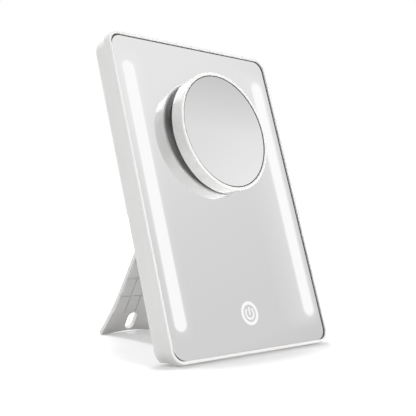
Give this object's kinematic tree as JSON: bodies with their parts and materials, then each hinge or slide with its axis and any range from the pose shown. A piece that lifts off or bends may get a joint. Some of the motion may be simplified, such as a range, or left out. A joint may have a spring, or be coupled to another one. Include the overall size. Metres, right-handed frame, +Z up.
{
  "type": "lighted makeup mirror",
  "caption": "Rectangular tabletop makeup mirror with side light windows, a touch power symbol, a stick-on round magnifying mirror and a fold-out prop leg.",
  "frame": {"origin": "on the floor, under the middle of the standing mirror's box", "axes": "+Z up, -Y towards the user in front of the glass, +X to the user's right"},
  "size_m": [0.163, 0.1446, 0.2232],
  "materials": {
    "frame_plastic": "satin moulded white",
    "shell_plastic": "fine-textured warm white",
    "leg_plastic": "fine-textured light grey",
    "rim_plastic": "polished white",
    "clear_glass": "polished float glass",
    "silver_layer": "silvered",
    "magnifying_mirror": "silvered, concave",
    "dark_tape": "foam adhesive",
    "frosted_plastic": "frosted",
    "white_board": "white solder mask",
    "led_package": "phosphor cap",
    "copper": "bare copper",
    "green_board": "green solder mask",
    "black_package": "moulded epoxy",
    "cell_foil": "foil pouch",
    "grey_foam": "closed-cell foam",
    "socket_steel": "drawn steel",
    "screw_steel": "zinc plated",
    "pin_steel": "ground steel",
    "washer_plastic": "natural",
    "foot_rubber": "soft grey",
    "cup_rubber": "soft dark grey"
  },
  "bodies": {
    "mirror_body": {"battery_cell": "cell_foil", "battery_pad": "grey_foam", "board_chips": "black_package", "bottom_feet": "foot_rubber", "charging_socket": "socket_steel", "control_board": "green_board", "friction_washers": "washer_plastic", "front_frame": "frame_plastic", "glass_tape": "dark_tape", "hinge_pin": "pin_steel", "left_led_board": "white_board", "left_leds": "led_package", "left_light_diffuser": "frosted_plastic", "mirror_backing": "silver_layer", "mirror_glass": "clear_glass", "rear_shell": "shell_plastic", "right_led_board": "white_board", "right_leds": "led_package", "right_light_diffuser": "frosted_plastic", "shell_screws": "screw_steel", "symbol_light_guide": "frosted_plastic", "touch_electrode": "copper"},
    "stand": {"stand_leg": "leg_plastic"},
    "magnifier": {"magnifier_rim": "rim_plastic", "magnifier_back": "rim_plastic", "magnifier_glass": "magnifying_mirror", "magnifier_tape": "dark_tape", "suction_cup": "cup_rubber"}
  },
  "joints": [
    {"name": "stand_hinge", "type": "hinge", "parent": "mirror_body", "child": "stand", "pos_m": [0, -0.00448, 0.15715], "axis": [1, 0, 0], "range_deg": [-44.1, 0]},
    {"name": "magnifier_pull_off", "type": "slide", "parent": "mirror_body", "child": "magnifier", "axis": [0, -0.9494, 0.314], "range_m": [0, 0.08]}
  ]
}
